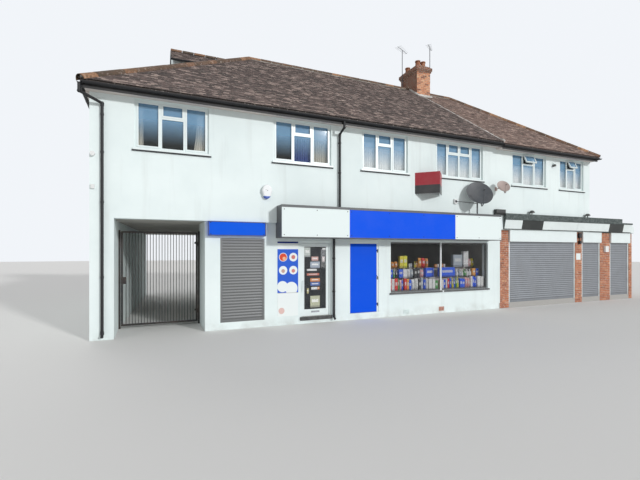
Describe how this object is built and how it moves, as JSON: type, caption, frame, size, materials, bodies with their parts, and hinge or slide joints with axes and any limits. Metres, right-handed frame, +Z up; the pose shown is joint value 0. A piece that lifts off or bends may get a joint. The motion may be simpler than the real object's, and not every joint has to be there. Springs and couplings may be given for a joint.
{
  "type": "corner shop building with flats over the shops",
  "caption": "Two-storey white rendered shop block with a hipped tile roof, gated passage, fascia sign box, glazed door and roller shutters.",
  "frame": {"origin": "on the ground, halfway along and halfway through the upper storey", "axes": "+X along the street front to the right, +Y from the street into the building, +Z up"},
  "size_m": [21.722, 11.3934, 12.1273],
  "materials": {
    "render": "painted render",
    "brick": "red brick",
    "brown_tile": "weathered concrete tiles",
    "red_tile": "red-brown concrete tiles",
    "clay": "fired clay",
    "concrete": "concrete",
    "plaster": "plaster",
    "lead_felt": "roofing felt",
    "white_plastic": "white window plastic",
    "black_plastic": "black pipes and gutters",
    "glass": "sealed panes",
    "black_steel": "black painted steel",
    "grey_frame": "dark grey frame",
    "shutter": "galvanised slats",
    "sign_blue": "blue sign sheet",
    "sign_white": "white sign sheet",
    "fascia_grey": "dark fascia casing",
    "band_green": "dark grey-green capping",
    "board_red": "red board",
    "dish_grey": "grey dish",
    "aerial_alloy": "aerial alloy"
  },
  "bodies": {
    "building": {"ground_floor": "concrete", "door_step": "concrete", "passage_left_wall": "render", "portal_pier": "render", "passage_inner_wall": "render", "shop_front_piers": "render", "display_wall": "render", "right_shop_piers": "brick", "shop_lintel": "render", "party_wall": "plaster", "side_shop_walls": "brick", "side_shop_roof": "lead_felt", "rear_wall": "render", "first_floor": "concrete", "upper_front_wall": "render", "upper_end_walls": "render", "ceiling": "plaster", "roof_front_left": "brown_tile", "roof_front_right": "red_tile", "roof_rear": "brown_tile", "roof_hips": "brown_tile", "ridge_tiles": "clay", "loft_room": "render", "loft_roof": "brown_tile", "chimney_stack": "brick", "chimney_pots": "clay", "eaves_boards": "white_plastic", "gutters": "black_plastic", "downpipes": "black_plastic", "window_frames": "white_plastic", "window_glass": "glass", "window_sills": "white_plastic", "display_frame": "grey_frame", "shop_door_frame": "white_plastic", "side_door_frame": "white_plastic", "gate_posts": "black_steel", "kiosk_sign": "sign_blue", "fascia_box": "fascia_grey", "sign_panels": "sign_white", "right_fascia": "band_green", "roller_shutters": "shutter", "shutter_hoods": "white_plastic", "wall_fittings": "white_plastic", "agent_board": "board_red", "satellite_dishes": "dish_grey", "aerials": "aerial_alloy"},
    "gate_leaf": {"gate": "black_steel"},
    "shop_door_leaf": {"shop_door": "white_plastic", "shop_door_glass": "glass"},
    "side_door_leaf": {"side_door": "sign_blue"}
  },
  "joints": [
    {"name": "gate_hinge", "type": "hinge", "parent": "building", "child": "gate_leaf", "pos_m": [-6.585, -3.672, 1.4], "axis": [0, 0, -1], "range_deg": [0, 90]},
    {"name": "shop_door_hinge", "type": "hinge", "parent": "building", "child": "shop_door_leaf", "pos_m": [-2.8635, -4.88, 1.2], "axis": [0, 0, -1], "range_deg": [0, 90]},
    {"name": "side_door_hinge", "type": "hinge", "parent": "building", "child": "side_door_leaf", "pos_m": [-1.2035, -5, 1.2], "axis": [0, 0, 1], "range_deg": [0, 95]}
  ]
}
